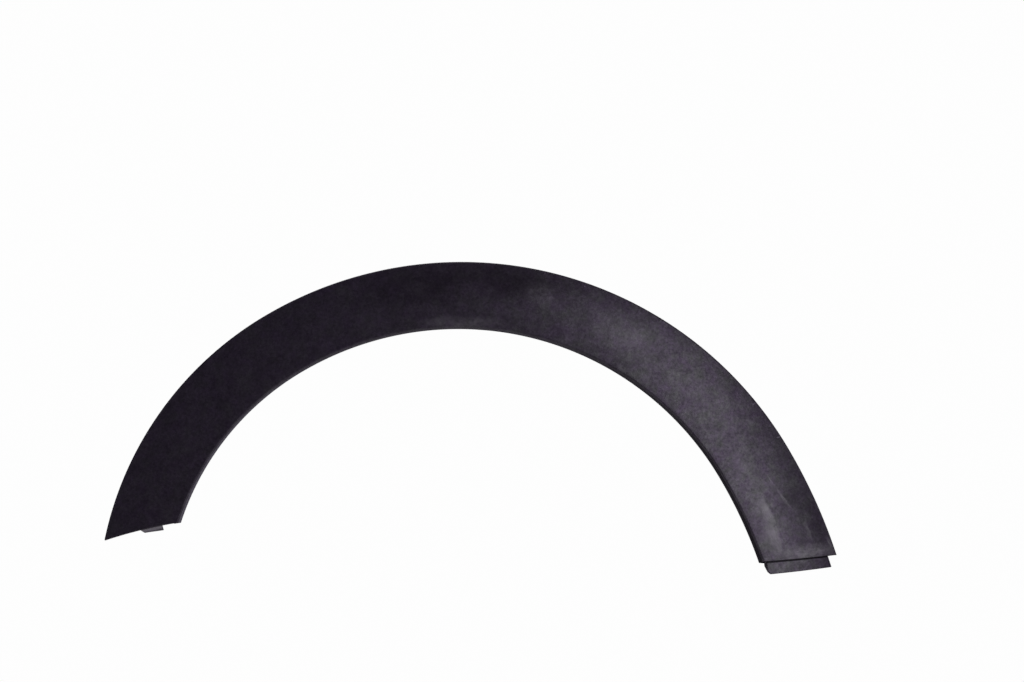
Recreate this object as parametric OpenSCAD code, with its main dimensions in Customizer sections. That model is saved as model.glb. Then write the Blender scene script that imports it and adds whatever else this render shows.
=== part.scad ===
// Fender trim: one black moulding that frames the top of a wheel opening, with its push-in clips.
// X runs along the car, Z is up and the car body lies on the +Y side.
// The origin is the root of the crown locating pin, where the trim meets the body.

/* [Opening edge] */
// Radius of the opening edge over the crown
inner_crown_r = 341.5; // [334:0.5:350]
// Radius of the opening edge down the right limb
inner_right_r = 528; // [490:1:600]
// Direction in which the crown of the opening edge begins; it turns through a quarter circle
inner_crown_from = 31; // [28:0.1:34]
// Radius of the opening edge down the left limb
inner_left_r = 300.5; // [290:0.5:320]
// Direction of the opening edge at the right cut, in degrees
inner_right_end = 19.55; // [18:0.05:22]
// Direction of the opening edge at the left cut, in degrees
inner_left_end = 161.8; // [160:0.05:164]
// Side offset of the crown arc centre from the crown pin
inner_centre_x = -2.9; // [-8:0.1:8]

/* [Outer edge] */
// Radius of the outer edge over the crown
outer_crown_r = 428; // [420:0.5:436]
// Radius of the outer edge down the right limb
outer_right_r = 604; // [560:1:660]
// Direction in which the crown of the outer edge begins; it turns through a quarter circle
outer_crown_from = 31.3; // [28:0.1:34]
// Radius of the outer edge down the left limb
outer_left_r = 376; // [366:0.5:390]
// Direction of the outer edge at the right cut, in degrees
outer_right_end = 18.25; // [16.5:0.05:20]
// Direction of the outer edge at the left cut, in degrees
outer_left_end = 168.6; // [166:0.05:170]
// Side offset of the outer crown arc centre from the crown pin
outer_centre_x = 1.3; // [-8:0.1:8]
// Width of the band at the crown, outer edge to opening edge
band_w = 75.2; // [70:0.1:80]
// Height of the crown pin above the opening edge
pin_above_opening = 38.4; // [34:0.1:40]

/* [Section] */
// Height of the face above the body at the opening edge
crown_h = 22; // [18:0.5:26]
// Height of the face above the body at the outer rim
rim_h = 3.2; // [2.8:0.1:6]
// Radius of the crowned face across the band
face_r = 230; // [200:5:400]
// Thickness of the skin
skin_t = 2.5; // [2:0.1:3]
// Thickness of the outer rim wall
rim_t = 2.2; // [1.6:0.1:3]
// Thickness of the return flange along the opening
flange_t = 2.2; // [1.6:0.1:3]
// Gap between the body and the lip of the return flange
lip_gap = 3; // [1:0.5:6]
// Draft of the return flange, in degrees
flange_draft = 5; // [2:0.5:8]
// How far the lip of the return flange runs on past the right cut
flange_past_right = 2.7; // [2:0.1:4]
// How far the lip of the return flange runs on past the left cut
flange_past_left = 2; // [1.7:0.1:4]
// Lean of the flange's ends, back towards the cuts, in degrees
flange_end_lean = 5; // [0:0.5:5]
// Radius of the rounded edge between the face and the flange
corner_r = 2.6; // [1.6:0.1:3.2]
// Bevel of the outer rim
rim_bevel = 0.6; // [0.3:0.1:1]

/* [Right tongue] */
// Length of the right tongue past the cut, on its outer side
tongue_outer_l = 13; // [8:0.1:20]
// Length of the right tongue past the cut, on its opening side
tongue_inner_l = 14.2; // [8:0.1:20]
// Length of the right tongue that is fused behind the face
tongue_root = 9; // [6:0.5:16]
// Distance of the tongue from the outer edge at the cut
tongue_outer_in = 10.3; // [8:0.1:20]
// How far the tongue leans towards the outer edge at its tip
tongue_lean = 3.5; // [0:0.1:5]
// Distance of the tongue from the flange's face at the cut
tongue_inner_in = 4.7; // [3:0.1:9]
// How much narrower the tongue is on the opening side at its tip
tongue_taper = 0.6; // [0:0.1:12]
// Corner cut off the tip of the tongue, on its opening side
tongue_corner = 3; // [0.5:0.5:8]
// Length past the cut of the wall along the tongue's opening side, at its foot
tongue_wall_l = 6.6; // [2:0.2:9]
// Lean of that wall's end towards the tip, in degrees
tongue_wall_lean = 17; // [0:1:25]
// Step from the face down to the tongue and the tab, the thickness of the piece that laps over them
tongue_step = 3.4; // [3:0.1:4.5]
// Thickness of the tongue and the tab
tongue_t = 2; // [1.6:0.1:2.6]
// Gap under the cut edge of the face, before the root that carries the tongue or the tab
root_back = 1; // [0.6:0.1:2]

/* [Left end] */
// How far the left cut dips into the band at its middle
left_cut_dip = 2.3; // [0.5:0.1:6]
// Distance of the left tab from the outer edge
tab_outer_in = 42.9; // [34:0.1:46]
// Width of the left tab
tab_w = 24.9; // [12:0.1:30]
// Corner cut off the outer side of the left tab
tab_chamfer = 3.5; // [0:0.1:5]
// Length of the left tab past the ends of the cut, on its outer side
tab_outer_l = 1.9; // [1:0.1:10]
// Length of the left tab past the ends of the cut, on its opening side
tab_inner_l = 4; // [1:0.1:10]
// Length of the left tab that is fused behind the face
tab_root = 9; // [6:0.5:16]

/* [Clip towers] */
// Number of clip towers, each with its clip
clip_count = 8; // [6:1:9]
// Place of the first and last towers, as a share of the trim's length from its ends
tower_from_end = 0.055; // [0.05:0.005:0.07]
// Distance of the clip axes from the opening edge
clip_from_opening = 36; // [32:0.5:42]
// Length of a tower along the band
tower_l = 22; // [20:0.5:28]
// Width of a tower across the band
tower_w = 19; // [18:0.5:24]
// Thickness of the tower walls
tower_wall = 1.8; // [1.4:0.1:2.4]
// Thickness of the tower floor that the clip hooks behind
floor_t = 2; // [1.6:0.1:2.6]
// Gap between the tower floor and the body
floor_gap = 3; // [2.4:0.1:4]

/* [Ribs] */
// Thickness of the ribs
rib_t = 1.6; // [1.2:0.1:2.2]
// Gap between the body and the foot of the ribs
rib_gap = 5; // [3:0.5:7]
// Number of stiffening ribs between two towers
ribs_between = 2; // [1:1:3]

/* [Locating pins] */
// Diameter of the locating pins
pin_d = 7; // [5:0.1:9]
// Length of the locating pins past the body, with their chamfer
pin_l = 9; // [7:0.5:14]
// Chamfer at the tip of each pin
pin_chamfer = 1.2; // [0.6:0.1:1.6]
// Diameter of the boss that carries each pin
boss_d = 13; // [11:0.5:16]
// Place of the side pin along the trim from its right cut, as a share of its length
side_pin_at = 0.12; // [0.11:0.005:0.13]

/* [Retaining clips] */
// Diameter of the clip head that is trapped in the tower
head_d = 13; // [11:0.5:14.5]
// Thickness of the clip head
head_t = 1.6; // [1.2:0.1:2.2]
// Diameter of the clip neck
neck_d = 6; // [5:0.1:7]
// Running gap between a clip and its slot
clip_play = 0.15; // [0.1:0.05:0.3]
// Diameter of the sealing collar
collar_d = 16; // [14:0.5:18]
// Thickness of the sealing collar at its edge
collar_t = 0.9; // [0.6:0.1:1.4]
// Diameter over the barbs of the shank
barb_d = 8.6; // [7.5:0.1:10]
// Core diameter of the shank
shank_d = 5.6; // [4.5:0.1:6]
// Length of the shank past the body
shank_l = 15; // [12:0.5:20]
// Number of barbs
barb_count = 3; // [2:1:4]

/* [Hidden] */
facets = 96;        // facets round a full circle, for quick views
sweep_past = 4;     // degrees that the band runs past each cut before it is trimmed
round_steps = 3;    // flats round the edge between face and flange
up = 40;            // height that clears the whole trim
spill = 1;          // how far a tool that trims runs past the face it trims
samples = 20;       // lines across the band that its greatest width is read from
quarter = 90;       // degrees that the crown turns through
edge_step = 0.5;    // share of the skin that what stands on its back reaches into
barb_plain = 0.3;   // share of a barb's length that is plain shank
barb_lip = 0.1;     // share of a barb's length over which it opens to its full diameter

outer_c = [outer_centre_x, band_w - pin_above_opening - outer_crown_r];
inner_c = [inner_centre_x, -pin_above_opening - inner_crown_r];
slant = tan(flange_draft);
lip_draft = (crown_h - lip_gap) * slant;

clip_names = [for (i = [1:clip_count]) str("retaining_clip_", i)];

function mix(a, b, f) = a + (b - a) * f;
function polar(r, a) = [r * cos(a), r * sin(a)];

// An edge as [crown centre, crown radius, crown start, right radius, right end, left radius, left end].
outer_edge = [outer_c, outer_crown_r, outer_crown_from,
              outer_right_r, outer_right_end, outer_left_r, outer_left_end];
opening_edge = [inner_c, inner_crown_r, inner_crown_from,
                inner_right_r, inner_right_end, inner_left_r, inner_left_end];

// The point of an edge where its normal has the direction a. Each limb's arc runs into the crown's.
function edge_at(edge, a) =
    let (
        from = edge[2],
        to = from + quarter,
        r = a < from ? edge[3] : a > to ? edge[5] : edge[1]
    )
    edge[0] + polar(edge[1] - r, min(max(a, from), to)) + polar(r, a);

// Ends of the line across the band, f of the way from the right cut to the left cut.
function line_at(f) = [
    edge_at(outer_edge, mix(outer_right_end, outer_left_end, f)),
    edge_at(opening_edge, mix(inner_right_end, inner_left_end, f))
];

function width_at(f) = let (l = line_at(f)) norm(l[1] - l[0]);
function heading(f) = let (l = line_at(f), e = l[1] - l[0]) atan2(e[1], e[0]);

// A place on the band, a distance out from the opening edge.
function from_opening(f, d) = let (l = line_at(f)) l[1] + (l[0] - l[1]) / width_at(f) * d;

// How far in from the outer edge the skin is made before the opening is cut. The tools that cut it
// along the opening and at its ends take their lengths from this too.
skin_w = max([for (k = [0:samples]) width_at(k / samples)]) + flange_t + corner_r;

// Where the tongue's opening side meets the right cut, along the cut from the outer edge.
tongue_inner_x = width_at(0) - lip_draft - tongue_inner_in;

// Centre of the crowned face's circle in a profile drawn with the outer edge at x = 0 and the band in -x.
function face_centre() =
    let (edge = band_w - lip_draft, rise = crown_h - rim_h, chord = norm([edge, rise]))
    [-edge / 2, (rim_h + crown_h) / 2] - [rise, edge] / chord * sqrt(face_r * face_r - chord * chord / 4);

// Carries a profile along a whole edge: X outward from the edge, Y up from the body.
// The crown and both limbs share the frame of the joint between crown and right limb.
module along(edge) {
    right_arc = edge[2] - edge[4] + sweep_past;
    left_arc = edge[6] - edge[2] - quarter + sweep_past;
    translate(edge[0]) rotate(edge[2]) {
        sector(edge[1], 0, quarter) children();
        translate([edge[1] - edge[3], 0]) sector(edge[3], -right_arc, right_arc) children();
        rotate(quarter) translate([edge[1] - edge[5], 0]) sector(edge[5], 0, left_arc) children();
    }
}

module sector(r, from, turn) {
    rotate_extrude(start = from, angle = turn, $fn = facets) translate([r, 0]) children();
}

module face_disc(depth) {
    translate(face_centre()) circle(face_r - depth, $fn = facets);
}

// What lies below a depth under the face, from one distance in to another, down to the body.
module below_face(depth, from, to, foot = 0) {
    intersection() {
        face_disc(depth);
        translate([-to, foot]) square([to - from, up]);
    }
}

// Skin and rim wall, with a bevelled outer rim.
module skin_profile() {
    bevel_h = rim_h - rim_bevel;
    difference() {
        below_face(0, 0, skin_w);
        below_face(skin_t, rim_t, skin_w + spill, -spill);
        polygon([[spill, bevel_h - spill], [spill, bevel_h + up], [-up, bevel_h + up]]);
    }
}

// The space below the middle of the skin, which bounds all that stands on the back of the skin.
module core() {
    along(outer_edge) below_face(skin_t * edge_step, rim_t * edge_step, skin_w);
}

// Flange along the opening, fatter than it ends up on the opening side, with a fillet under the skin.
module flange_profile() {
    fillet_h = crown_h - skin_t - flange_t;
    back = flange_t + slant * (fillet_h - lip_gap);
    polygon([
        [-flange_t, lip_gap],
        [flange_t, lip_gap],
        [back, fillet_h],
        [back + up - fillet_h, up],
        [-flange_t, up]
    ]);
}

// Everything on the opening side of the flange, with the round that joins it to the face.
module opening_profile() {
    foot = crown_h - corner_r;
    c = [slant * (foot - lip_gap) + corner_r, foot];
    round = [for (i = [0:round_steps]) c + polar(corner_r, 180 - 90 * i / round_steps)];
    last = round[round_steps] - round[round_steps - 1];
    polygon(concat(
        [[-skin_w, -up], [slant * (-up - lip_gap), -up]],
        round,
        [c + [0, corner_r] + last / norm(last) * skin_w, [-skin_w, 2 * up]]
    ));
}

// Stands a flat shape on the band at f along it: X runs from the outer edge to the opening.
module on_line(f, origin) {
    translate(origin) rotate(heading(f)) children();
}

module on_right_cut() {
    on_line(0, line_at(0)[0]) children();
}

module on_left_cut() {
    on_line(1, line_at(1)[0]) children();
}

module past_right_cut() {
    on_right_cut() translate([-skin_w / 2, 0]) square([2 * skin_w, 2 * skin_w]);
}

// What lies past the left cut, with its shallow dip.
module past_left_cut() {
    w = width_at(1);
    dip_r = (w * w / 4 + left_cut_dip * left_cut_dip) / (2 * left_cut_dip);
    on_left_cut() {
        translate([-skin_w / 2, -2 * skin_w]) square([2 * skin_w, 2 * skin_w]);
        translate([w / 2, left_cut_dip - dip_r]) circle(dip_r, $fn = facets);
    }
}

module past_cuts() {
    translate([0, 0, -up])
        linear_extrude(2 * up) {
            past_right_cut();
            past_left_cut();
        }
}

// What lies past a leaning plane that meets the lip's level at y, on the far or the near side of it.
module past_plane(y, lean, side) {
    translate([-skin_w / 2, y, lip_gap])
        rotate([lean, 0, 0])
            translate([0, min(side, 0) * 2 * skin_w, -up]) cube([2 * skin_w, 2 * skin_w, 2 * up]);
}

// What lies past the ends of the flange, whose lip runs on further than its top.
module past_flange() {
    on_right_cut() past_plane(flange_past_right, flange_end_lean, 1);
    on_left_cut() past_plane(-flange_past_left, -flange_end_lean, -1);
}

// A plate between two depths under the face, bounded by a flat outline.
module plate(top, bottom) {
    intersection() {
        along(outer_edge)
            difference() {
                below_face(top, rim_t, skin_w);
                below_face(bottom, 0, skin_w + spill, -spill);
            }
        linear_extrude(up) children();
    }
}

// A plate stepped down behind the face, and the root under the skin that carries it.
// The first child is the plate's outline, the second its root's.
module stepped_plate() {
    bottom = tongue_step + tongue_t;
    plate(tongue_step, bottom) children(0);
    plate(skin_t * edge_step, bottom) children(1);
}

module tongue_outline() {
    polygon([
        [tongue_outer_in, -tongue_root],
        [tongue_outer_in, 0],
        [tongue_outer_in - tongue_lean, tongue_outer_l],
        [tongue_inner_x - tongue_taper - tongue_corner, tongue_inner_l],
        [tongue_inner_x - tongue_taper, tongue_inner_l - tongue_corner],
        [tongue_inner_x, 0],
        [tongue_inner_x, -tongue_root]
    ]);
}

// The strip of the tongue's outline along its opening side, where its wall stands.
module tongue_wall_outline() {
    intersection() {
        tongue_outline();
        polygon([
            [tongue_inner_x, -tongue_root],
            [tongue_inner_x, 0],
            [tongue_inner_x - 2 * tongue_taper, 2 * tongue_inner_l],
            [tongue_inner_x - 2 * tongue_taper - tongue_t, 2 * tongue_inner_l],
            [tongue_inner_x - tongue_t, 0],
            [tongue_inner_x - tongue_t, -tongue_root]
        ]);
    }
}

// Wall along the tongue's opening side, as deep as the flange.
module tongue_wall() {
    difference() {
        intersection() {
            along(outer_edge) below_face(tongue_step + tongue_t * edge_step, rim_t, skin_w);
            translate([0, 0, lip_gap]) linear_extrude(up) on_right_cut() tongue_wall_outline();
        }
        on_right_cut() past_plane(tongue_wall_l, -tongue_wall_lean, 1);
    }
}

module right_tongue() {
    stepped_plate() {
        on_right_cut() tongue_outline();
        on_right_cut()
            translate([tongue_outer_in, -tongue_root])
                square([tongue_inner_x - tongue_outer_in, tongue_root - root_back]);
    }
    tongue_wall();
}

module left_tab() {
    stepped_plate() {
        on_left_cut()
            polygon([
                [tab_outer_in, tab_root],
                [tab_outer_in, tab_chamfer - tab_outer_l],
                [tab_outer_in + tab_chamfer, -tab_outer_l],
                [tab_outer_in + tab_w, -tab_inner_l],
                [tab_outer_in + tab_w, tab_root]
            ]);
        on_left_cut()
            translate([tab_outer_in, left_cut_dip + root_back])
                square([tab_w, tab_root - left_cut_dip - root_back]);
    }
}

// Places along the band.
function clip_f(i) = mix(tower_from_end, 1 - tower_from_end, i / (clip_count - 1));
function clip_at(i) = from_opening(clip_f(i), clip_from_opening);
function side_pin() = from_opening(side_pin_at, clip_from_opening);

module tower_walls() {
    difference() {
        square([tower_w, tower_l], center = true);
        translate([tower_wall - tower_w / 2, tower_wall - tower_l / 2])
            square([tower_w, tower_l - 2 * tower_wall]);
    }
}

// Floor with the slot that the neck of a clip slides into from the opening side.
module tower_floor() {
    slot = neck_d + 2 * clip_play;
    difference() {
        square([tower_w, tower_l], center = true);
        circle(d = slot, $fn = facets);
        translate([0, -slot / 2]) square([tower_w, slot]);
    }
}

// A rib across the band, from the rim into the flange.
module cross_rib(f) {
    w = width_at(f);
    end = (flange_t + lip_draft) / 2;
    on_line(f, line_at(f)[1]) translate([-w + rim_t, -rib_t / 2]) square([w - rim_t - end, rib_t]);
}

// All that stands on the back of the skin, cut off inside the thickness of the skin.
module back_works() {
    intersection() {
        union() {
            translate([0, 0, floor_gap])
                linear_extrude(up)
                    for (i = [0:clip_count - 1]) on_line(clip_f(i), clip_at(i)) tower_walls();
            translate([0, 0, rib_gap])
                linear_extrude(up)
                    for (i = [0:clip_count - 2], k = [1:ribs_between])
                        cross_rib(mix(clip_f(i), clip_f(i + 1), k / (ribs_between + 1)));
            cylinder(d = boss_d, h = up, $fn = facets);
            translate(side_pin()) cylinder(d = boss_d, h = up, $fn = facets);
        }
        core();
    }
    translate([0, 0, floor_gap])
        linear_extrude(floor_t)
            for (i = [0:clip_count - 1]) on_line(clip_f(i), clip_at(i)) tower_floor();
}

module locating_pin() {
    mirror([0, 0, 1]) {
        cylinder(d = pin_d, h = pin_l - pin_chamfer, $fn = facets);
        translate([0, 0, pin_l - pin_chamfer])
            cylinder(d1 = pin_d, d2 = pin_d - 2 * pin_chamfer, h = pin_chamfer, $fn = facets);
    }
}

module band() {
    difference() {
        union() {
            difference() {
                along(outer_edge) skin_profile();
                past_cuts();
            }
            difference() {
                intersection() {
                    along(opening_edge) flange_profile();
                    core();
                }
                past_flange();
            }
        }
        along(opening_edge) opening_profile();
    }
}

module arch_trim() {
    color("#1c1c20")
        rotate([90, 0, 0]) {
            band();
            back_works();
            right_tongue();
            left_tab();
            locating_pin();
            translate(side_pin()) locating_pin();
        }
}

// Push-in clip: a head inside the tower, a neck in its slot, a collar on the body and a barbed shank.
module retaining_clip(i) {
    head_from = floor_gap + floor_t + clip_play;
    collar_from = floor_gap - clip_play;
    barb_l = (shank_l - shank_d / 2) / barb_count;
    barb = [[shank_d, barb_plain], [barb_d, barb_plain + barb_lip], [shank_d, 1]];
    barbs = [for (k = [0:barb_count - 1], p = barb) [p[0] / 2, -(k + p[1]) * barb_l]];
    color("#d8d3c4")
        rotate([90, 0, 0])
            translate(clip_at(i))
                rotate_extrude($fn = facets)
                    polygon(concat(
                        [
                            [0, head_from + head_t],
                            [head_d / 2, head_from + head_t],
                            [head_d / 2, head_from],
                            [neck_d / 2, head_from],
                            [neck_d / 2, collar_from],
                            [collar_d / 2, collar_t],
                            [collar_d / 2, 0],
                            [shank_d / 2, 0]
                        ],
                        barbs,
                        [[shank_d / 4, -shank_l], [0, -shank_l]]
                    ));
}

arch_trim();
for (i = [1:clip_count])
    retaining_clip(i - 1);
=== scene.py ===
import math

import bmesh
import bpy
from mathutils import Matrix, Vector


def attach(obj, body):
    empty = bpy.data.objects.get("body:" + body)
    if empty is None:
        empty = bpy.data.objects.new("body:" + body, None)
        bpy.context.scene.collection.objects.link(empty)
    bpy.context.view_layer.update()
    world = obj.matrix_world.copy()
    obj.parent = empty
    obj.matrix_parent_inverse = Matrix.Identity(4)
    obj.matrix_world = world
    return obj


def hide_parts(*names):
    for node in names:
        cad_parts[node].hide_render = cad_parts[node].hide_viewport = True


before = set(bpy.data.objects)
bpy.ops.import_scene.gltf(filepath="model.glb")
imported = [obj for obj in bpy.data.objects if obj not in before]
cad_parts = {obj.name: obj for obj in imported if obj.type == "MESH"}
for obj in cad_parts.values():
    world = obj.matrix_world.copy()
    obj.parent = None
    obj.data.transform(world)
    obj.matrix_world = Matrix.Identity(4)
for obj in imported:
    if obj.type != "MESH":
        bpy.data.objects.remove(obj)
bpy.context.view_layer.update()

mm = 0.001


# Band

# The two edges of the band in front view, in millimetres: a crown arc that turns through
# a quarter circle about x, z, and a limb arc running on from it at each side.
edges = {
    "outer": {"x": 1.3, "z": -391.2, "crown": 428.0, "from": 31.3,
              "right": 604.0, "rightEnd": 18.25, "left": 376.0, "leftEnd": 168.6},
    "opening": {"x": -2.9, "z": -379.9, "crown": 341.5, "from": 31.0,
                "right": 528.0, "rightEnd": 19.55, "left": 300.5, "leftEnd": 161.8},
}

# Section of the band, in millimetres above the body.
section = {
    "crownH": 22.0,         # face at the opening edge
    "rimH": 3.2,            # face at the outer rim
    "faceR": 230.0,         # crowned face across the band
    "bandW": 75.2,          # outer edge to opening edge at the crown
    "skin": 2.5,
    "rim": 2.2,
    "flange": 2.2,
    "lipGap": 3.0,          # from the body to the lip of the flange
    "draft": 5.0,           # degrees
    "bevel": 0.6,           # of the outer rim
    "openingRound": 2.6,    # between face and flange
    "softEdge": 0.4,        # of lips and feet
    "leftDip": 2.3,         # of the left cut at its middle
    "leftTip": 1.8,         # rounding of the left cut's outer corner in front view
    "endSoft": 0.3,         # rounding of the cut ends
    "endRound": 1.7,        # rounding of the face down to the cuts
}

# How finely the band is made.
bandMesh = {"stations": 560, "facePoints": 44, "backPoints": 24, "endSteps": 7}


def mix(a, b, f):
    return a + (b - a) * f


def clamp(v, low, high):
    return max(low, min(high, v))


def polar(r, degrees):
    a = math.radians(degrees)
    return Vector((r * math.cos(a), r * math.sin(a)))


def edgeAt(edge, a):
    # the point whose normal has the direction a
    start = edge["from"]
    end = start + 90
    r = edge["right"] if a < start else edge["left"] if a > end else edge["crown"]
    centre = Vector((edge["x"], edge["z"]))
    return centre + polar(edge["crown"] - r, clamp(a, start, end)) + polar(r, a)


def insideEdge(edge, p):
    # how far p lies inside the edge, square to it
    crown = Vector((edge["x"], edge["z"]))
    start = edge["from"]
    a = math.degrees(math.atan2(p.y - crown.y, p.x - crown.x))
    a += 360 if a < -90 else 0
    r = edge["right"] if a < start else edge["left"] if a > start + 90 else edge["crown"]
    centre = crown + polar(edge["crown"] - r, clamp(a, start, start + 90))
    if start <= a <= start + 90:
        centre = crown
    return r - (p - centre).length


def normalAt(edge, f):
    return polar(1, mix(edge["rightEnd"], edge["leftEnd"], f))


def lineAt(f):
    # across the band, from the outer edge to the opening: start, direction and width
    a = edgeAt(edges["outer"], mix(edges["outer"]["rightEnd"], edges["outer"]["leftEnd"], f))
    b = edgeAt(edges["opening"], mix(edges["opening"]["rightEnd"], edges["opening"]["leftEnd"], f))
    return a, (b - a).normalized(), (b - a).length


slant = math.tan(math.radians(section["draft"]))
lipDraft = (section["crownH"] - section["lipGap"]) * slant


def faceCentre():
    run = section["bandW"] - lipDraft
    rise = section["crownH"] - section["rimH"]
    chord = math.hypot(run, rise)
    root = math.sqrt(section["faceR"] ** 2 - chord ** 2 / 4)
    middle = (section["rimH"] + section["crownH"]) / 2
    return run / 2 + rise / chord * root, middle - run / chord * root


faceX, faceH = faceCentre()


def skinHeight(inset, depth=0.0):
    # height above the body, a depth under the face
    return faceH + math.sqrt((section["faceR"] - depth) ** 2 - (inset - faceX) ** 2)


def heightOver(p, depth=0.0):
    return skinHeight(insideEdge(edges["outer"], p), depth)


def onTrim(p, h):
    # front-view place and height above the body, in millimetres, to the shared frame in metres
    return Vector((p.x * mm, -h * mm, p.y * mm))


def fillet(before, corner, after, r, steps):
    # points of the round that replaces a corner
    a = (before - corner).normalized()
    b = (after - corner).normalized()
    half = math.acos(clamp(a.dot(b), -1, 1)) / 2
    tangent = min(r / math.tan(half), (before - corner).length * 0.49, (after - corner).length * 0.49)
    r = tangent * math.tan(half)
    centre = corner + (a + b).normalized() * (r / math.sin(half))
    start = corner + a * tangent - centre
    turn = start.angle_signed(corner + b * tangent - centre)
    out = []
    for i in range(steps + 1):
        t = -turn * i / steps
        c, s = math.cos(t), math.sin(t)
        out.append(centre + Vector((start.x * c - start.y * s, start.x * s + start.y * c)))
    return out


def skinAt(f):
    # heights under the face along the line at f, by distance from the outer edge
    start, across, width = lineAt(f)
    return lambda t, depth=0.0: heightOver(start + across * t, depth)


def flankAt(f):
    # distance from the outer edge of the flange's face, by height and by depth behind it
    start, across, width = lineAt(f)
    squareness = abs(across.dot(normalAt(edges["opening"], f)))
    return lambda h, behind=0.0: width - (behind + slant * (h - section["lipGap"])) / squareness


def bandLoop(f, lowered=0.0):
    # closed section at f, as distance from the outer edge and height, with its face lowered
    start, across, width = lineAt(f)
    squareOut = abs(across.dot(normalAt(edges["outer"], f)))
    skin = skinAt(f)
    flank = flankAt(f)

    def top(t, depth=0.0):
        return skin(t, depth if depth else min(lowered, 0.3 + clamp(t, 0, 9) * 0.4))

    soft = section["softEdge"]
    rim = section["rim"] / squareOut
    bevelFoot = section["rimH"] - section["bevel"]
    bevelTop = section["bevel"] / (1 - (top(1.0) - top(0.0)))
    crest = top(flank(section["crownH"]))
    edgeT = flank(crest)
    backH = crest - section["skin"] - section["flange"]
    filletFrom = Vector((flank(backH, section["flange"]), backH))
    filletRise = section["flange"] * 0.9
    filletTo = Vector((filletFrom.x - filletRise, top(filletFrom.x - filletRise, section["skin"])))

    bevelAt = Vector((0, bevelFoot))
    faceFrom = Vector((bevelTop, top(bevelTop)))
    corner = Vector((edgeT, crest))
    lipOut = Vector((flank(section["lipGap"]), section["lipGap"]))
    lipIn = Vector((flank(section["lipGap"], section["flange"]), section["lipGap"]))
    footOut = Vector((0, 0))
    footIn = Vector((rim, 0))
    rimTop = Vector((rim, top(rim, section["skin"])))

    points = fillet(footIn, footOut, bevelAt, soft, 2)
    points += fillet(footOut, bevelAt, faceFrom, soft, 2)
    points += fillet(bevelAt, faceFrom, Vector((bevelTop + 3, top(bevelTop + 3))), soft, 2)
    faceEnd = edgeT - section["openingRound"] * 1.15
    for i in range(bandMesh["facePoints"]):
        t = mix(bevelTop + 1.2, faceEnd, i / (bandMesh["facePoints"] - 1))
        points.append(Vector((t, top(t))))
    points += fillet(Vector((edgeT - 8, top(edgeT - 8))), corner, lipOut, section["openingRound"], 8)
    points += fillet(corner, lipOut, lipIn, soft, 3)
    points += fillet(lipOut, lipIn, filletFrom, soft, 3)
    points += fillet(lipIn, filletFrom, filletTo, 1.5, 3)
    beyond = filletTo.x - 6
    points += fillet(filletFrom, filletTo, Vector((beyond, top(beyond, section["skin"]))), 1.5, 3)
    for i in range(bandMesh["backPoints"]):
        t = mix(filletTo.x - 2, rim + 2, i / (bandMesh["backPoints"] - 1))
        points.append(Vector((t, top(t, section["skin"]))))
    points += fillet(Vector((rim + 3, top(rim + 3, section["skin"]))), rimTop, footIn, 1.0, 3)
    points += fillet(rimTop, footIn, footOut, soft, 2)
    return points


def flangeLoop(f):
    # closed section of the flange alone, up to the middle of the skin
    top = skinAt(f)
    flank = flankAt(f)
    soft = section["softEdge"]
    crest = top(flank(section["crownH"]))
    rise = crest - section["skin"] / 2
    backH = crest - section["skin"] - section["flange"]
    lipOut = Vector((flank(section["lipGap"]), section["lipGap"]))
    lipIn = Vector((flank(section["lipGap"], section["flange"]), section["lipGap"]))
    shoulder = Vector((flank(rise), rise))
    back = Vector((flank(backH, section["flange"]), backH))
    foot = back.x - (rise - backH) * 0.9
    heel = Vector((foot, top(foot, section["skin"] / 2)))
    points = fillet(heel, shoulder, lipOut, 1.2, 4)
    points += fillet(shoulder, lipOut, lipIn, soft, 3)
    points += fillet(lipOut, lipIn, back, soft, 3)
    points += fillet(lipIn, back, heel, 1.5, 3)
    points += fillet(back, heel, shoulder, soft, 2)
    return points


def leftDip(t, width):
    # how far the left cut lies inside the line between its ends, with its rounded outer corner
    dip = section["leftDip"]
    tip = section["leftTip"]
    r = (width * width / 4 + dip * dip) / (2 * dip)
    near = tip - clamp(t, 0, tip)
    corner = tip - math.sqrt(tip * tip - near * near)
    return dip - r + math.sqrt(r * r - (clamp(t, 0, width) - width / 2) ** 2) + corner


def runLength(f, t, width):
    # millimetres along the band for one whole step of f
    out, opening = edges["outer"], edges["opening"]

    def rate(e):
        a = mix(e["rightEnd"], e["leftEnd"], f)
        r = e["right"] if a < e["from"] else e["left"] if a > e["from"] + 90 else e["crown"]
        return r * math.radians(e["leftEnd"] - e["rightEnd"])

    return mix(rate(out), rate(opening), clamp(t / width, 0, 1))


def insetLoop(points, amount):
    # the loop drawn in by an amount, square to itself
    n = len(points)
    area = sum(points[i].x * points[(i + 1) % n].y - points[(i + 1) % n].x * points[i].y for i in range(n))
    side = 1 if area > 0 else -1
    out = []
    for i in range(n):
        along = (points[(i + 1) % n] - points[i - 1]).normalized()
        out.append(points[i] + Vector((-along.y, along.x)) * side * amount)
    return out


def bandRow(u, loop, shift=0.0, drawIn=0.0):
    # one section in space; shift is in millimetres along the band, towards the left end
    width = lineAt(u)[2]
    if drawIn:
        loop = insetLoop(loop, drawIn)
    shifts = shift if isinstance(shift, list) else [shift] * len(loop)
    row = []
    for p, moved in zip(loop, shifts):
        rate = runLength(u, p.x, width)
        f = u * (1 - leftDip(p.x, width) / rate) + moved / rate
        start, across, w = lineAt(f)
        row.append(onTrim(start + across * (p.x * w / width), p.y))
    return row


def meshFrom(name, build):
    mesh = bpy.data.meshes.new(name)
    bm = bmesh.new()
    build(bm)
    bmesh.ops.recalc_face_normals(bm, faces=bm.faces)
    bm.to_mesh(mesh)
    bm.free()
    obj = bpy.data.objects.new(name, mesh)
    bpy.context.scene.collection.objects.link(obj)
    return obj


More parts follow.
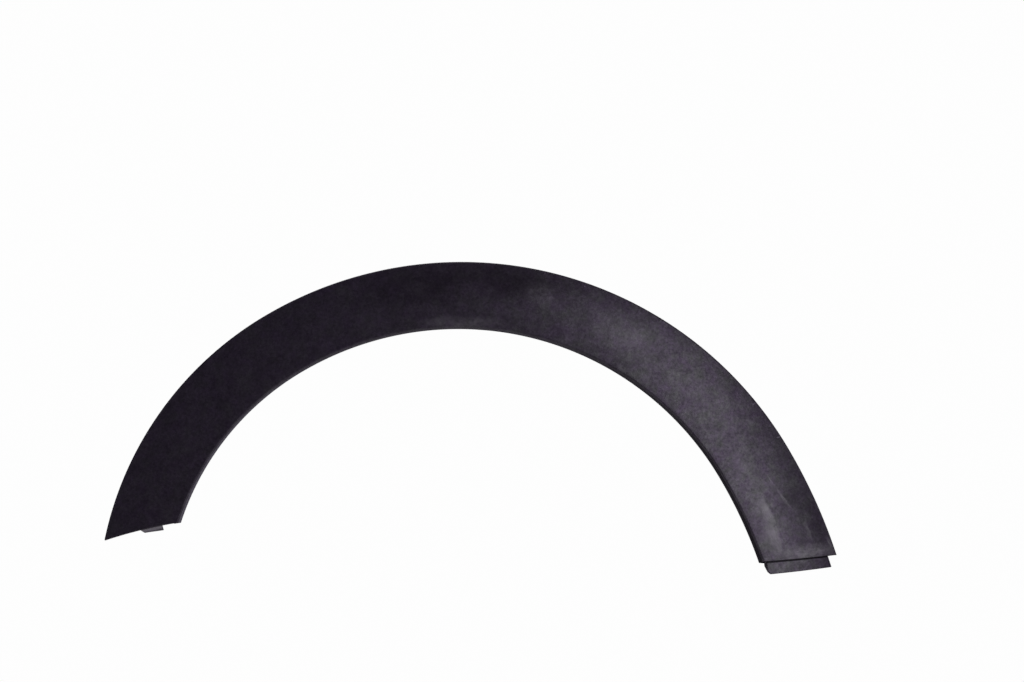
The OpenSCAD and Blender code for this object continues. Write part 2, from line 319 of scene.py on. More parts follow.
def loft(bm, rows):
    # closed loops joined in order, with both ends capped
    verts = [[bm.verts.new(p) for p in row] for row in rows]
    n = len(rows[0])
    for a, b in zip(verts, verts[1:]):
        for i in range(n):
            j = (i + 1) % n
            bm.faces.new((a[i], a[j], b[j], b[i]))
    caps = [bm.faces.new(verts[0]), bm.faces.new(list(reversed(verts[-1])))]
    bmesh.ops.triangulate(bm, faces=caps)


def endRows(u, inward):
    # sections from a cut inwards, with the face rounded down to the cut
    rows = []
    r, steps = section["endRound"], bandMesh["endSteps"]
    for k in range(steps + 1):
        a = math.radians(90 * k / steps)
        loop = bandLoop(u, r * (1 - math.sin(a)))
        rows.append(bandRow(u, loop, inward * r * (1 - math.cos(a)), 0.0 if k else section["endSoft"] * 0.5))
    return rows


def makeBand():
    count = bandMesh["stations"]
    rows = endRows(0, 1)
    rows += [bandRow(i / count, bandLoop(i / count)) for i in range(2, count - 1)]
    rows += endRows(1, -1)[::-1]
    return meshFrom("bandSkin", lambda bm: loft(bm, rows))


# What runs on past the cuts: the flange, a stepped tongue on the right and a stepped tab on the left

# The lip runs on past each cut, and the end leans back from it, in degrees.
flangeEnd = {"right": 2.7, "left": 2.0, "lean": 5.0, "inside": 3.0}

step = {"down": 3.4, "thick": 2.0, "points": 34, "turns": 3, "rootBack": 1.0, "rootSlack": 0.1}

tongue = {"outerLength": 13.0, "innerLength": 14.2, "root": 9.0, "outerIn": 10.3, "lean": 3.5, "innerIn": 4.7,
          "taper": 0.6, "corner": 3.0, "tipRound": 0.9, "soft": 0.6}

# The wall under the tongue's opening side, as deep as the flange; its end leans towards the tip.
tongueWall = {"length": 6.6, "lean": 17.0, "soft": 0.4, "inset": 0.03}

tab = {"outerIn": 42.9, "width": 24.9, "chamfer": 3.5, "outerLength": 1.9, "innerLength": 4.0, "root": 9.0,
       "soft": 0.9}


def makeFlangeEnds(bm):
    inside, soft = flangeEnd["inside"], section["endSoft"]
    lean = math.tan(math.radians(flangeEnd["lean"]))
    for u, out, past in ((0, -1, flangeEnd["right"]), (1, 1, flangeEnd["left"])):
        loop = flangeLoop(u)
        rows = [bandRow(u, loop, -out * inside)]
        for back, drawIn in ((soft, 0.0), (soft * 0.3, soft * 0.3), (0.0, soft)):
            shifts = [out * (past - back - lean * (p.y - section["lipGap"])) for p in loop]
            rows.append(bandRow(u, loop, shifts, drawIn))
        loft(bm, rows)


# depth under the face that what stands on the back of the skin reaches up to
buried = section["skin"] / 2


def endFrame(f):
    # a cut end's axes in front view: origin, across the band, past the right-hand cut, and the width
    start, across, width = lineAt(f)
    return start, across, Vector((-across.y, across.x)), width


def plateLoop(place, low, high, top, bottom, soft=0.3):
    # closed section of a plate between two depths under the face; place(v) is its front-view point
    count = step["points"]
    turns = [math.radians(90 * k / step["turns"]) for k in range(step["turns"] + 1)]
    upper = [(low + soft * (1 - math.cos(a)), top + soft * (1 - math.sin(a))) for a in turns]
    flat = [(mix(low + soft, high - soft, i / (count - 1)), top) for i in range(1, count - 1)]
    half = upper + flat + [(low + high - v, d) for v, d in reversed(upper)]
    loop = half + [(v, top + bottom - d) for v, d in reversed(half)]
    return [onTrim(place(v), heightOver(place(clamp(v, low, high)), d)) for v, d in loop]


def makeTongue():
    start, across, past, width = endFrame(0)
    down, bottom = step["down"], step["down"] + step["thick"]
    outer, slack = tongue["outerIn"], step["rootSlack"]
    inner = width - lipDraft - tongue["innerIn"]
    tip = tongue["tipRound"]

    def sides(v):
        # v runs from 0 at the cut to 1 at the tip, and is negative behind the cut
        into = clamp(v, 0, 1)
        cornered = max(0, into * tongue["innerLength"] - (tongue["innerLength"] - tongue["corner"]))
        return outer - tongue["lean"] * into, inner - tongue["taper"] * into - cornered

    def reach(x, v):
        low, high = sides(v)
        length = mix(tongue["outerLength"], tongue["innerLength"], (x - low) / (high - low))
        return v * length if v > 0 else v * tongue["root"]

    def row(v, sidesAt, top, lower, soft=0.3):
        # sidesAt gives the two sides of the plate there
        low, high = sidesAt(v)
        draw = 0.0
        if v > 1 - tip / tongue["outerLength"]:
            into = (v - 1) * tongue["outerLength"] + tip
            draw = tip - math.sqrt(max(tip ** 2 - into ** 2, 0))
        return plateLoop(lambda x: start + across * x + past * reach(x, v), low + draw, high - draw * 0.4,
                         top + draw * 0.4, lower - draw * 0.4, soft)

    def wallRow(y):
        # from the lip's level, or from where the leaning end has risen to, up into the plate
        face = inner - tongue["taper"] * clamp(y / tongue["innerLength"], 0, 1) - tongueWall["inset"]
        back = face - step["thick"]
        rise = max(0, y - tongueWall["length"]) / math.tan(math.radians(tongueWall["lean"]))
        foot = section["lipGap"] + rise
        buriedAt = down + soft

        def upTo(x):
            return heightOver(start + across * x + past * y, buriedAt)

        corners = [Vector((back, upTo(back))), Vector((back, foot)), Vector((face, foot)), Vector((face, upTo(face)))]
        r = tongueWall["soft"]
        points = [corners[0]] + fillet(corners[0], corners[1], corners[2], r, 2)
        points += fillet(corners[1], corners[2], corners[3], r, 2) + [corners[3]]
        return [onTrim(start + across * p.x + past * y, p.y) for p in points]

    def rootSides(v):
        return outer + slack, inner - slack

    soft = tongue["soft"]
    tipFrom = 1 - tip / tongue["outerLength"]
    rounded = [mix(tipFrom, 1, math.sin(math.radians(a))) for a in (25, 50, 70, 85)]
    cornerFrom = 1 - tongue["corner"] / tongue["innerLength"]
    stops = [mix(-1, 0, i / 5) for i in range(6)] + [cornerFrom * (i + 1) / 6 for i in range(6)]
    stops += [mix(cornerFrom, tipFrom, i / 3) for i in (1, 2, 3)] + rounded
    rootStops = [slack / tongue["root"] - 1, -0.5, -step["rootBack"] / tongue["root"]]
    wallTop = section["crownH"] - down - step["thick"]
    wallEnd = tongueWall["length"] + (wallTop - section["lipGap"]) * math.tan(math.radians(tongueWall["lean"]))
    wallStops = [mix(slack - tongue["root"], tongueWall["length"], i / 6) for i in range(7)]
    wallStops += [mix(tongueWall["length"], wallEnd, (i + 1) / 5) for i in range(5)]
    plate = meshFrom("tongue", lambda bm: loft(bm, [row(v, sides, down, bottom, soft) for v in stops]))
    wall = meshFrom("tongueWall", lambda bm: loft(bm, [wallRow(y) for y in wallStops]))
    root = meshFrom("tongueRoot", lambda bm: loft(
        bm, [row(v, rootSides, buried, bottom - slack) for v in rootStops]))
    return [plate, wall, root]


def makeTab():
    start, across, past, width = endFrame(1)

    def row(x):
        into = x - tab["outerIn"]
        if into < tab["chamfer"]:
            low = tab["chamfer"] - tab["outerLength"] - into
        else:
            along = (into - tab["chamfer"]) / (tab["width"] - tab["chamfer"])
            low = -mix(tab["outerLength"], tab["innerLength"], along)
        return plateLoop(lambda y: start + across * x + past * y, low, tab["root"], down, bottom, tab["soft"])

    def rootRow(x):
        slack = step["rootSlack"]
        return plateLoop(lambda y: start + across * x + past * y, section["leftDip"] + step["rootBack"],
                         tab["root"] - slack, buried, bottom - slack)

    down, bottom = step["down"], step["down"] + step["thick"]
    first, last = tab["outerIn"], tab["outerIn"] + tab["width"]
    stops = [first, first + 0.25] + [mix(first + 0.6, last - 0.25, i / 16) for i in range(17)] + [last]
    rootStops = [mix(first + step["rootSlack"], last - step["rootSlack"], i / 16) for i in range(17)]
    plate = meshFrom("endTab", lambda bm: loft(bm, [row(x) for x in stops]))
    root = meshFrom("tabRoot", lambda bm: loft(bm, [rootRow(x) for x in rootStops]))
    return [plate, root]


# Towers, ribs and pins on the back

tower = {"count": 8, "fromEnd": 0.055, "fromOpening": 36.0, "length": 22.0, "width": 19.0, "wall": 1.8,
         "floor": 2.0, "gap": 3.0, "slot": 6.3}

rib = {"thick": 1.6, "gap": 5.0, "between": 2}

pin = {"d": 7.0, "length": 9.0, "chamfer": 1.2, "boss": 13.0, "sideAt": 0.12}

def towerF(i):
    return mix(tower["fromEnd"], 1 - tower["fromEnd"], i / (tower["count"] - 1))


def fromOpening(f, d):
    start, across, width = lineAt(f)
    return start + across * (width - d)


def wallSection(p, side, half, foot):
    # an upright wall's section at p, from its foot up into the skin
    out = []
    for sign in (1, -1):
        q = p + side * half * sign
        pair = [onTrim(q, foot), onTrim(q, heightOver(q, buried))]
        out += pair if sign == 1 else pair[::-1]
    return out


def makeTowerWalls(bm):
    halfW, halfL = tower["width"] / 2, tower["length"] / 2
    t = tower["wall"] / 2
    path = [Vector((halfW, t - halfL)), Vector((t - halfW, t - halfL)),
            Vector((t - halfW, halfL - t)), Vector((halfW, halfL - t))]
    for i in range(tower["count"]):
        centre = fromOpening(towerF(i), tower["fromOpening"])
        across = lineAt(towerF(i))[1]
        along = Vector((-across.y, across.x))
        rows = []
        for k, (a, b) in enumerate(zip(path, path[1:])):
            run = (b - a).normalized()
            for s in range(0 if k == 0 else 1, 6):
                p = a.lerp(b, s / 5)
                side = Vector((-run.y, run.x))
                half = t
                if s == 5 and k < 2:
                    turn = (path[k + 2] - b).normalized()
                    side = (side + Vector((-turn.y, turn.x))).normalized()
                    half = t * math.sqrt(2)
                rows.append(wallSection(centre + across * p.x + along * p.y,
                                        across * side.x + along * side.y, half, tower["gap"]))
        loft(bm, rows)


def makeTowerFloors(bm):
    halfW, halfL, r = tower["width"] / 2, tower["length"] / 2, tower["slot"] / 2
    outline = [Vector((halfW, r)), Vector((halfW, halfL)), Vector((-halfW, halfL)),
               Vector((-halfW, -halfL)), Vector((halfW, -halfL)), Vector((halfW, -r))]
    outline += [polar(r, -90 - 180 * k / 16) for k in range(17)]
    for i in range(tower["count"]):
        centre = fromOpening(towerF(i), tower["fromOpening"])
        across = lineAt(towerF(i))[1]
        along = Vector((-across.y, across.x))
        flat = [centre + across * p.x + along * p.y for p in outline]
        loft(bm, [[onTrim(p, h) for p in flat] for h in (tower["gap"], tower["gap"] + tower["floor"])])


def makeRibs(bm):
    end = (section["flange"] + lipDraft) / 2
    for i in range(tower["count"] - 1):
        for k in range(1, rib["between"] + 1):
            f = mix(towerF(i), towerF(i + 1), k / (rib["between"] + 1))
            start, across, width = lineAt(f)
            side = Vector((-across.y, across.x))
            stops = [mix(section["rim"] * 0.6, width - end, s / 16) for s in range(17)]
            loft(bm, [wallSection(start + across * x, side, rib["thick"] / 2, rib["gap"]) for x in stops])


def makePins(bm):
    r, tip = pin["d"] / 2, pin["d"] / 2 - pin["chamfer"]
    soft = 0.3
    # radius and height up to the boss, whose top then follows the skin
    outline = [(tip - soft, -pin["length"]), (tip, soft * 0.6 - pin["length"]),
               (r, pin["chamfer"] - pin["length"]), (r, -soft), (r + soft, 0),
               (pin["boss"] / 2 - soft, 0), (pin["boss"] / 2, soft)]
    for at in (Vector((0, 0)), fromOpening(pin["sideAt"], tower["fromOpening"])):
        turns = [polar(1, 360 * k / 64) for k in range(64)]
        rows = [[onTrim(at + d * radius, h) for d in turns] for radius, h in outline]
        boss = [at + d * (pin["boss"] / 2) for d in turns]
        rows.append([onTrim(p, heightOver(p, buried)) for p in boss])
        loft(bm, rows)


def unite(target, tools):
    # one watertight moulding; the tools are dropped once they are in it
    for tool in tools:
        join = target.modifiers.new(tool.name, "BOOLEAN")
        join.operation = "UNION"
        join.solver = "MANIFOLD"
        join.object = tool
    depsgraph = bpy.context.evaluated_depsgraph_get()
    mesh = bpy.data.meshes.new_from_object(target.evaluated_get(depsgraph))
    target.modifiers.clear()
    target.data = mesh
    for tool in tools:
        bpy.data.objects.remove(tool)


def smooth(obj, degrees):
    obj.data.shade_smooth()
    obj.data.set_sharp_from_angle(angle=math.radians(degrees))


def markSurfaces(obj):
    # edgeNear is 1 on the face's outer and opening edges; the tab's painted light is 1 on the tab by the left cut and
    # falls off towards the tab's tip, painted darker there; the painted shade and the painted light on the flange are
    # 1 on its own face, down the right limb and the left
    reach = 2.2
    near, tabLight, flankShade, flankLight = [], [], [], []
    start, across, past, width = endFrame(1)
    for v in obj.data.vertices:
        p = Vector((v.co.x / mm, v.co.z / mm))
        h = -v.co.y / mm
        outer = insideEdge(edges["outer"], p)
        opening = -insideEdge(edges["opening"], p)
        onFace = 1.0 if h > skinHeight(clamp(outer, 0, 95)) - 1.2 else 0.0
        gap = min(abs(outer - 0.6), abs(opening - lipDraft - 0.8))
        near.append(onFace * clamp(1 - gap / reach, 0, 1))
        x, y = across.dot(p - start), past.dot(p - start)
        inTab = tab["outerIn"] - 0.1 < x < tab["outerIn"] + tab["width"] + 0.1
        lowered = h < heightOver(p) - step["down"] + 0.2 and h > heightOver(p) - step["down"] - 0.2
        onTab = inTab and lowered and y < tab["root"] + 1
        tabLight.append(clamp((y + tab["innerLength"] - 0.6) / 3.6, 0.12, 1) if onTab else 0.0)
        onFlank = abs(opening - slant * (h - section["lipGap"])) < 0.5 and h < heightOver(p) - 1.6
        flankShade.append(clamp((p.x - 100) / 100, 0, 1) if onFlank else 0.0)
        flankLight.append(clamp((-160 - p.x) / 120, 0, 1) if onFlank else 0.0)
    for name, values in (("edgeNear", near), ("tabLight", tabLight), ("flankShade", flankShade),
                         ("flankLight", flankLight)):
        obj.data.attributes.new(name, "FLOAT", "POINT").data.foreach_set("value", values)


moulding = makeBand()
print("band:", len(moulding.data.polygons), "faces")
backWorks = [meshFrom("towerWalls", makeTowerWalls), meshFrom("towerFloors", makeTowerFloors),
             meshFrom("crossRibs", makeRibs), meshFrom("pins", makePins)]
unite(moulding, makeTongue() + makeTab() + [meshFrom("flangeEnds", makeFlangeEnds)] + backWorks)
moulding.name = "archMoulding"
smooth(moulding, 38)
markSurfaces(moulding)
print("moulding:", len(moulding.data.polygons), "faces,", len(moulding.data.vertices), "points")


# Retaining clips

clip = {"headD": 13.0, "headT": 1.6, "neckD": 6.0, "play": 0.15, "collarD": 16.0, "collarT": 0.9,
        "barbD": 8.6, "shankD": 5.6, "shankL": 15.0, "barbs": 3, "turns": 72}


def clipOutline():
    # radius, height and round of each corner, from the head down to the tip
    headFrom = tower["gap"] + tower["floor"] + clip["play"]
    collarFrom = tower["gap"] - clip["play"]
    barbL = (clip["shankL"] - clip["shankD"] / 2) / clip["barbs"]
    shank = clip["shankD"] / 2
    corners = [(clip["headD"] / 2, headFrom + clip["headT"], 0.5), (clip["headD"] / 2, headFrom, 0.3),
               (clip["neckD"] / 2, headFrom, 0.2), (clip["neckD"] / 2, collarFrom, 0.6),
               (clip["collarD"] / 2, clip["collarT"], 0.3), (clip["collarD"] / 2, 0, 0.2), (shank, 0, 0.2)]
    for k in range(clip["barbs"]):
        corners += [(shank, -(k + 0.3) * barbL, 0.2), (clip["barbD"] / 2, -(k + 0.4) * barbL, 0.2),
                    (shank, -(k + 1) * barbL, 0.2)]
    corners.append((shank / 2, -clip["shankL"], 0.4))
    return corners


def makeClip(i):
    corners = clipOutline()
    points = [Vector(c[:2]) for c in corners]
    ends = [Vector((0, points[0].y)), Vector((0, points[-1].y))]
    outline = []
    for k, (r, h, roundR) in enumerate(corners):
        before = points[k - 1] if k else ends[0]
        after = points[k + 1] if k + 1 < len(points) else ends[1]
        outline += fillet(before, points[k], after, roundR, 3)
    at = fromOpening(towerF(i), tower["fromOpening"])
    turns = [polar(1, 360 * k / clip["turns"]) for k in range(clip["turns"])]
    rows = [[onTrim(at + d * p.x, p.y) for d in turns] for p in outline]
    obj = meshFrom("clip_%d" % (i + 1), lambda bm: loft(bm, rows))
    smooth(obj, 42)
    return obj


clips = [makeClip(i) for i in range(tower["count"])]
print("clips:", len(clips))


# Node groups

def newGroup(name, inputs, outputs):
    tree = bpy.data.node_groups.new(name, "ShaderNodeTree")
    for label, kind, value in inputs:
        socket = tree.interface.new_socket(label, in_out="INPUT", socket_type=kind)
        if value is not None:
            socket.default_value = value
    for label, kind in outputs:
        tree.interface.new_socket(label, in_out="OUTPUT", socket_type=kind)
    return tree, tree.nodes.new("NodeGroupInput"), tree.nodes.new("NodeGroupOutput")


def put(tree, kind, links=None, values=None, **settings):
    # a node with its settings, socket values and incoming links
    node = tree.nodes.new(kind)
    for key, value in settings.items():
        setattr(node, key, value)
    for key, value in (values or {}).items():
        node.inputs[key].default_value = value
    for key, socket in (links or {}).items():
        tree.links.new(socket, node.inputs[key])
    return node


def calc(tree, operation, a, b=None, clampOut=False):
    # a Math node; a and b are sockets or numbers
    node = tree.nodes.new("ShaderNodeMath")
    node.operation = operation
    node.use_clamp = clampOut
    for i, v in enumerate((a, b)):
        if v is None:
            continue
        if isinstance(v, (int, float)):
            node.inputs[i].default_value = v
        else:
            tree.links.new(v, node.inputs[i])
    return node.outputs[0]


def spread(tree, value, low, high, toLow=0.0, toHigh=1.0):
    node = put(tree, "ShaderNodeMapRange", {"Value": value},
               {"From Min": low, "From Max": high, "To Min": toLow, "To Max": toHigh})
    return node.outputs["Result"]


def grainGroup():
    # fine moulded grain and a slow cloudiness; sizes are in metres
    tree, ins, outs = newGroup("mouldGrain", [
        ("Vector", "NodeSocketVector", None),
        ("Grain Size", "NodeSocketFloat", 0.0012),
        ("Cloud Size", "NodeSocketFloat", 0.03),
        ("Mottle Size", "NodeSocketFloat", 0.003),
    ], [("Height", "NodeSocketFloat"), ("Mottle", "NodeSocketFloat"), ("Blotch", "NodeSocketFloat"),
        ("Cloud", "NodeSocketFloat"), ("Hue", "NodeSocketFloat")])
    fineScale = calc(tree, "DIVIDE", 1.0, ins.outputs["Grain Size"])
    cloudScale = calc(tree, "DIVIDE", 1.0, ins.outputs["Cloud Size"])
    mottleScale = calc(tree, "DIVIDE", 1.0, ins.outputs["Mottle Size"])
    pebbles = put(tree, "ShaderNodeTexVoronoi", {"Vector": ins.outputs["Vector"], "Scale": fineScale},
                  feature="SMOOTH_F1")
    fine = put(tree, "ShaderNodeTexNoise", {"Vector": ins.outputs["Vector"], "Scale": fineScale},
               {"Detail": 3.0, "Roughness": 0.6})
    cloud = put(tree, "ShaderNodeTexNoise", {"Vector": ins.outputs["Vector"], "Scale": cloudScale},
                {"Detail": 4.0, "Roughness": 0.55})
    mottle = put(tree, "ShaderNodeTexNoise", {"Vector": ins.outputs["Vector"], "Scale": mottleScale},
                 {"Detail": 3.0, "Roughness": 0.75})
    blotchScale = calc(tree, "DIVIDE", mottleScale, 3.6)
    blotch = put(tree, "ShaderNodeTexNoise", {"Vector": ins.outputs["Vector"], "Scale": blotchScale},
                 {"Detail": 2.0, "Roughness": 0.6})
    hueScale = calc(tree, "MULTIPLY", cloudScale, 1.7)
    hue = put(tree, "ShaderNodeTexNoise", {"Vector": ins.outputs["Vector"], "Scale": hueScale},
              {"Detail": 5.0, "Roughness": 0.75})
    height = calc(tree, "ADD", calc(tree, "MULTIPLY", pebbles.outputs["Distance"], 0.7),
                  calc(tree, "MULTIPLY", fine.outputs["Fac"], 0.6))
    tree.links.new(height, outs.inputs["Height"])
    tree.links.new(spread(tree, mottle.outputs["Fac"], 0.34, 0.66), outs.inputs["Mottle"])
    tree.links.new(spread(tree, blotch.outputs["Fac"], 0.32, 0.68), outs.inputs["Blotch"])
    tree.links.new(spread(tree, cloud.outputs["Fac"], 0.32, 0.68), outs.inputs["Cloud"])
    tree.links.new(spread(tree, hue.outputs["Fac"], 0.36, 0.64), outs.inputs["Hue"])
    return tree


def scuffGroup():
    # a patch of streaks about a point, lying in the front view; sizes are in metres, and Sharp Side
    # says how many times as fast it fades on its right-hand side, looking along it
    tree, ins, outs = newGroup("paleScuff", [
        ("Vector", "NodeSocketVector", None),
        ("Centre", "NodeSocketVector", None),
        ("Turn", "NodeSocketFloat", 0.0),
        ("Length", "NodeSocketFloat", 0.04),
        ("Width", "NodeSocketFloat", 0.01),
        ("Streak Size", "NodeSocketFloat", 0.002),
        ("Streak Stretch", "NodeSocketFloat", 9.0),
        ("Breakup", "NodeSocketFloat", 0.5),
        ("Sharp Side", "NodeSocketFloat", 1.0),
        ("Raggedness", "NodeSocketFloat", 0.9),
    ], [("Mask", "NodeSocketFloat")])
    ragged = put(tree, "ShaderNodeTexNoise", {"Vector": ins.outputs["Vector"]},
                 {"Scale": 110.0, "Detail": 5.0, "Roughness": 0.7})
    pushed = put(tree, "ShaderNodeVectorMath", {0: ragged.outputs["Color"]}, {1: (0.5, 0.5, 0.5)},
                 operation="SUBTRACT")
    push = put(tree, "ShaderNodeVectorMath", {0: pushed.outputs[0],
                                              "Scale": calc(tree, "MULTIPLY", ins.outputs["Width"],
                                                            ins.outputs["Raggedness"])},
               operation="SCALE")
    warped = put(tree, "ShaderNodeVectorMath", {0: ins.outputs["Vector"], 1: push.outputs[0]}, operation="ADD")
    moved = put(tree, "ShaderNodeVectorMath", {0: warped.outputs[0], 1: ins.outputs["Centre"]},
                operation="SUBTRACT")
    turned = put(tree, "ShaderNodeVectorRotate", {"Vector": moved.outputs[0], "Angle": ins.outputs["Turn"]},
                 rotation_type="Y_AXIS")
    parts = put(tree, "ShaderNodeSeparateXYZ", {0: turned.outputs[0]})
    along = calc(tree, "DIVIDE", parts.outputs["X"], ins.outputs["Length"])
    side = calc(tree, "DIVIDE", parts.outputs["Z"], ins.outputs["Width"])
    beyond = calc(tree, "MULTIPLY", calc(tree, "MAXIMUM", side, 0.0),
                  calc(tree, "SUBTRACT", ins.outputs["Sharp Side"], 1.0))
    side = calc(tree, "ADD", side, beyond)
    r = calc(tree, "SQRT", calc(tree, "ADD", calc(tree, "MULTIPLY", along, along),
                                calc(tree, "MULTIPLY", side, side)))
    patch = put(tree, "ShaderNodeMapRange", {"Value": r}, {"From Min": 1.0, "From Max": 0.1},
                interpolation_type="SMOOTHSTEP")
    stretched = put(tree, "ShaderNodeCombineXYZ", {
        "X": calc(tree, "DIVIDE", parts.outputs["X"],
                  calc(tree, "MULTIPLY", ins.outputs["Streak Size"], ins.outputs["Streak Stretch"])),
        "Z": calc(tree, "DIVIDE", parts.outputs["Z"], ins.outputs["Streak Size"])})
    streak = put(tree, "ShaderNodeTexNoise", {"Vector": stretched.outputs[0]},
                 {"Scale": 1.0, "Detail": 5.0, "Roughness": 0.65})
    threshold = calc(tree, "MULTIPLY", ins.outputs["Breakup"], 0.9)
    broken = put(tree, "ShaderNodeMapRange", {"Value": streak.outputs["Fac"], "From Min": threshold,
                                              "From Max": calc(tree, "ADD", threshold, 0.40)})
    mask = calc(tree, "MULTIPLY", patch.outputs["Result"], broken.outputs["Result"], True)
    tree.links.new(mask, outs.inputs["Mask"])
    return tree


def wearGroup():
    # rubbed edges: a nearness of 1 on the edge, broken up by noise
    tree, ins, outs = newGroup("edgeWear", [
        ("Vector", "NodeSocketVector", None),
        ("Nearness", "NodeSocketFloat", 0.0),
        ("Patch Size", "NodeSocketFloat", 0.02),
        ("Amount", "NodeSocketFloat", 0.5),
    ], [("Mask", "NodeSocketFloat")])
    scale = calc(tree, "DIVIDE", 1.0, ins.outputs["Patch Size"])
    patches = put(tree, "ShaderNodeTexNoise", {"Vector": ins.outputs["Vector"], "Scale": scale},
                  {"Detail": 6.0, "Roughness": 0.7})
    worn = spread(tree, patches.outputs["Fac"], 0.38, 0.62)
    near = calc(tree, "POWER", ins.outputs["Nearness"], 1.6)
    mask = calc(tree, "MULTIPLY", calc(tree, "MULTIPLY", near, worn), ins.outputs["Amount"], True)
    tree.links.new(mask, outs.inputs["Mask"])
    return tree


def stepShadeGroup():
    # painted shade in the step along a straight cut: full within Reach of it, then fading over Fade
    tree, ins, outs = newGroup("stepShade", [
        ("Vector", "NodeSocketVector", None),
        ("Origin", "NodeSocketVector", None),
        ("Past", "NodeSocketVector", None),
        ("Shift", "NodeSocketFloat", 0.0003),
        ("Reach", "NodeSocketFloat", 0.0009),
        ("Fade", "NodeSocketFloat", 0.0006),
    ], [("Mask", "NodeSocketFloat")])
    moved = put(tree, "ShaderNodeVectorMath", {0: ins.outputs["Vector"], 1: ins.outputs["Origin"]},
                operation="SUBTRACT")
    past = put(tree, "ShaderNodeVectorMath", {0: moved.outputs[0], 1: ins.outputs["Past"]},
               operation="DOT_PRODUCT")
    away = calc(tree, "ABSOLUTE", calc(tree, "SUBTRACT", past.outputs["Value"], ins.outputs["Shift"]))
    faded = calc(tree, "DIVIDE", calc(tree, "SUBTRACT", away, ins.outputs["Reach"]), ins.outputs["Fade"], True)
    tree.links.new(calc(tree, "SUBTRACT", 1.0, faded), outs.inputs["Mask"])
    return tree


grain = grainGroup()
scuffAndLight = scuffGroup()
wear = wearGroup()
stepShadeTree = stepShadeGroup()


def newMaterial(name):
    material = bpy.data.materials.new(name)
    material.use_nodes = True
    tree = material.node_tree
    tree.nodes.clear()
    out = tree.nodes.new("ShaderNodeOutputMaterial")
    shader = tree.nodes.new("ShaderNodeBsdfPrincipled")
    tree.links.new(shader.outputs[0], out.inputs["Surface"])
    return material, tree, shader


def tint(tree, factor, a, b):
    # a colour between two, by a factor socket; a and b are sockets or colours
    node = tree.nodes.new("ShaderNodeMix")
    node.data_type = "RGBA"
    tree.links.new(factor, node.inputs["Factor"])
    for key, v in (("A", a), ("B", b)):
        socket = [s for s in node.inputs if s.name == key and s.type == "RGBA"][0]
        if isinstance(v, (tuple, list)):
            socket.default_value = (*v, 1)
        else:
            tree.links.new(v, socket)
    return [s for s in node.outputs if s.type == "RGBA"][0]


# Materials

trimFinish = {
    "dark": (0.0098, 0.0074, 0.0118),
    "light": (0.0160, 0.0124, 0.0188),
    # the pale marks' colour: scuffs, and painted light along the crown's opening edge
    "scuffAndLight": (0.34, 0.33, 0.35),
    "worn": (0.075, 0.073, 0.080),
    # The next four are painted light and shade: the end tab lighter by the left cut and darker towards its tip, the
    # left limb's flange lit, and the shade in the step under the right cut and on the right limb's flange, with how
    # strong that is on the flange.
    "tab": (0.34, 0.33, 0.345),
    "paintedLight": (0.095, 0.089, 0.110),
    "paintedShade": (0.004, 0.003, 0.005),
    "flankShade": 0.45,
    "roughLow": 0.34,
    "roughHigh": 0.42,
    "gloss": 0.5,
    "mottle": 0.31,         # how far the gloss varies either way, from point to point
    "blotch": 0.20,         # and from blotch to blotch
    "sheenViolet": (1.0, 0.80, 1.18),
    "sheenGrey": (0.97, 0.98, 1.0),
    "grainDepth": 0.00006,
    "grainSize": 0.0011,
    "mottleSize": 0.0032,
    "cloudSize": 0.028,
}

# Pale marks on the front alone, scuffs and one painted light, each along a line in the front view from x, z to x, z
# in metres.
scuffsAndPaintedLight = [
    {"from": (0.333, -0.218), "to": (0.355, -0.264), "width": 0.0180, "streak": 0.0040, "stretch": 4.0,
     "breakup": 0.20, "strength": 0.48, "sharp": 6.0, "ragged": 0.35},
    {"from": (0.341, -0.240), "to": (0.363, -0.298), "width": 0.0230, "streak": 0.0040, "stretch": 4.0,
     "breakup": 0.20, "strength": 0.46, "sharp": 4.0, "ragged": 0.35},
    {"from": (0.337, -0.193), "to": (0.358, -0.224), "width": 0.0028, "streak": 0.0014, "stretch": 9.0,
     "breakup": 0.38, "strength": 0.24, "sharp": 3.0},
    {"from": (0.350, -0.211), "to": (0.374, -0.244), "width": 0.0040, "streak": 0.0012, "stretch": 9.0,
     "breakup": 0.34, "strength": 0.35, "sharp": 3.0},
    {"from": (0.3855, -0.246), "to": (0.3965, -0.282), "width": 0.0070, "streak": 0.0016, "stretch": 6.0,
     "breakup": 0.34, "strength": 0.20, "sharp": 4.0},
    {"from": (0.335, -0.292), "to": (0.440, -0.2862), "width": 0.0130, "streak": 0.0030, "stretch": 3.0,
     "breakup": 0.26, "strength": 0.34, "sharp": 1.0},
    {"from": (0.4125, -0.269), "to": (0.4205, -0.292), "width": 0.0032, "streak": 0.0014, "stretch": 6.0,
     "breakup": 0.30, "strength": 0.28, "sharp": 1.0},
    {"from": (0.300, -0.172), "to": (0.332, -0.214), "width": 0.0140, "streak": 0.0040, "stretch": 2.0,
     "breakup": 0.30, "strength": 0.11, "sharp": 2.0},
    {"from": (0.060, 0.008), "to": (0.120, -0.012), "width": 0.0190, "streak": 0.0040, "stretch": 1.3,
     "breakup": 0.36, "strength": 0.19, "sharp": 1.0},
    {"from": (0.140, -0.016), "to": (0.226, -0.080), "width": 0.0260, "streak": 0.0050, "stretch": 1.3,
     "breakup": 0.32, "strength": 0.20, "sharp": 1.0},
    {"from": (0.220, -0.074), "to": (0.276, -0.134), "width": 0.0220, "streak": 0.0050, "stretch": 1.3,
     "breakup": 0.34, "strength": 0.10, "sharp": 1.0},
    # painted light: a lighter strip along the crown's opening edge, where the face turns to the front and catches
    # more light
    {"from": (-0.062, -0.031), "to": (0.062, -0.031), "width": 0.0095, "streak": 0.0050, "stretch": 2.0,
     "breakup": 0.28, "strength": 0.15, "sharp": 1.0},
    {"from": (-0.070, 0.006), "to": (-0.024, 0.009), "width": 0.0130, "streak": 0.0040, "stretch": 1.3,
     "breakup": 0.38, "strength": 0.05, "sharp": 1.0},
]

